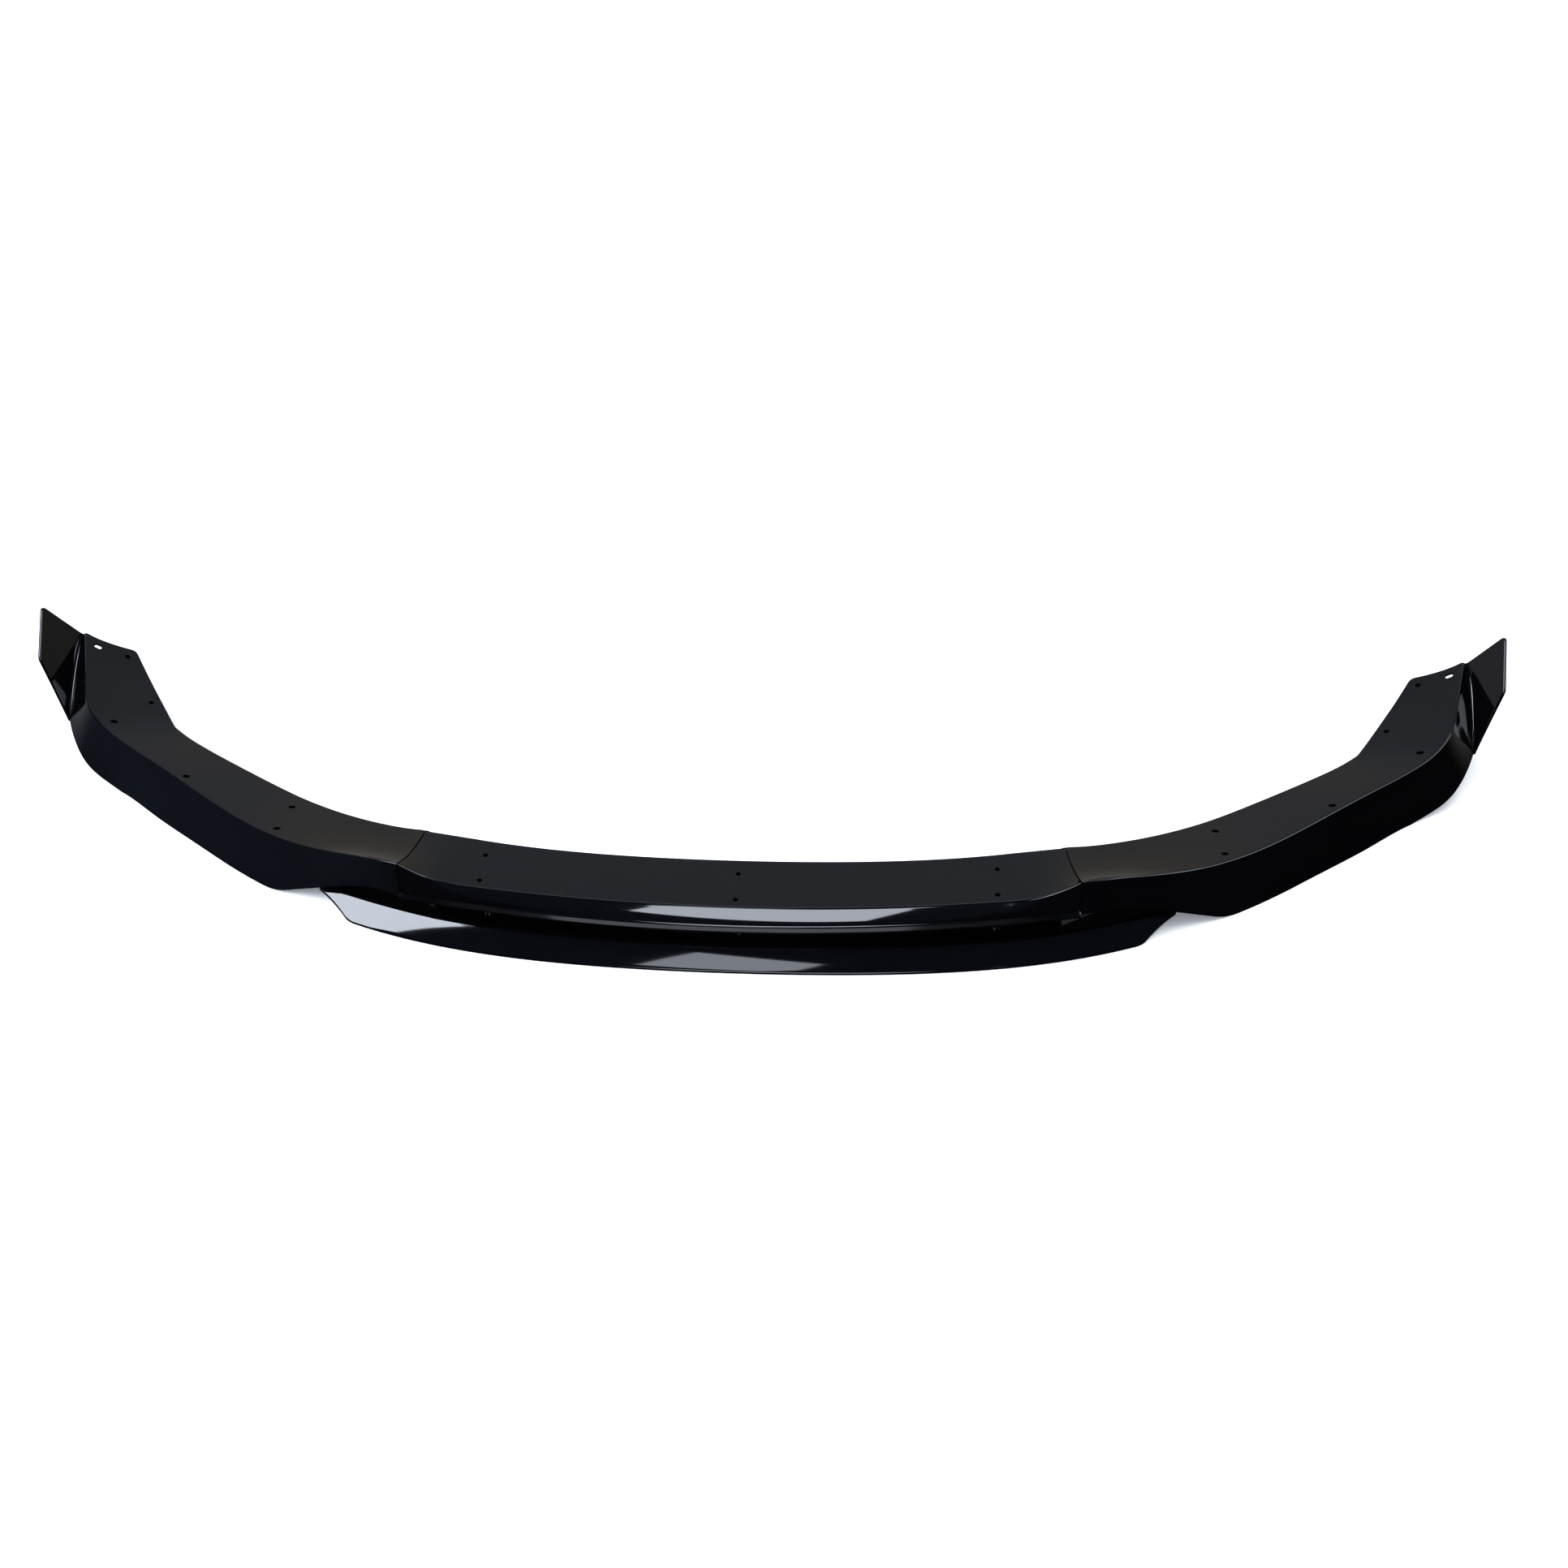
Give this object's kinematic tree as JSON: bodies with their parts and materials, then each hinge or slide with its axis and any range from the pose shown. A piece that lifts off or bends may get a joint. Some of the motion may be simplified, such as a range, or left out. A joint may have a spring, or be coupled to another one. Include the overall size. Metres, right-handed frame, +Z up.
{
  "type": "front bumper lip spoiler",
  "caption": "Gloss black front bumper lip: a curved centre lip, side lips with upturned end fins, and a lower blade on screw posts, with screw holes along the flange.",
  "frame": {"origin": "midway between the two screw holes in the middle of the centre flange, on the flange's top face", "axes": "+X to the car's left, +Y to the car's rear, +Z up"},
  "size_m": [1.8144, 0.4617, 0.1747],
  "materials": {
    "gloss_black_abs": "gloss black",
    "zinc_plated_steel": "zinc plated",
    "black_oxide_steel": "black oxide"
  },
  "bodies": {
    "root": {"centre_lip": "gloss_black_abs", "side_lip_left": "gloss_black_abs", "side_lip_right": "gloss_black_abs", "lower_blade": "gloss_black_abs", "seam_bolts": "zinc_plated_steel", "seam_nuts": "zinc_plated_steel", "blade_screws": "black_oxide_steel"}
  },
  "joints": []
}
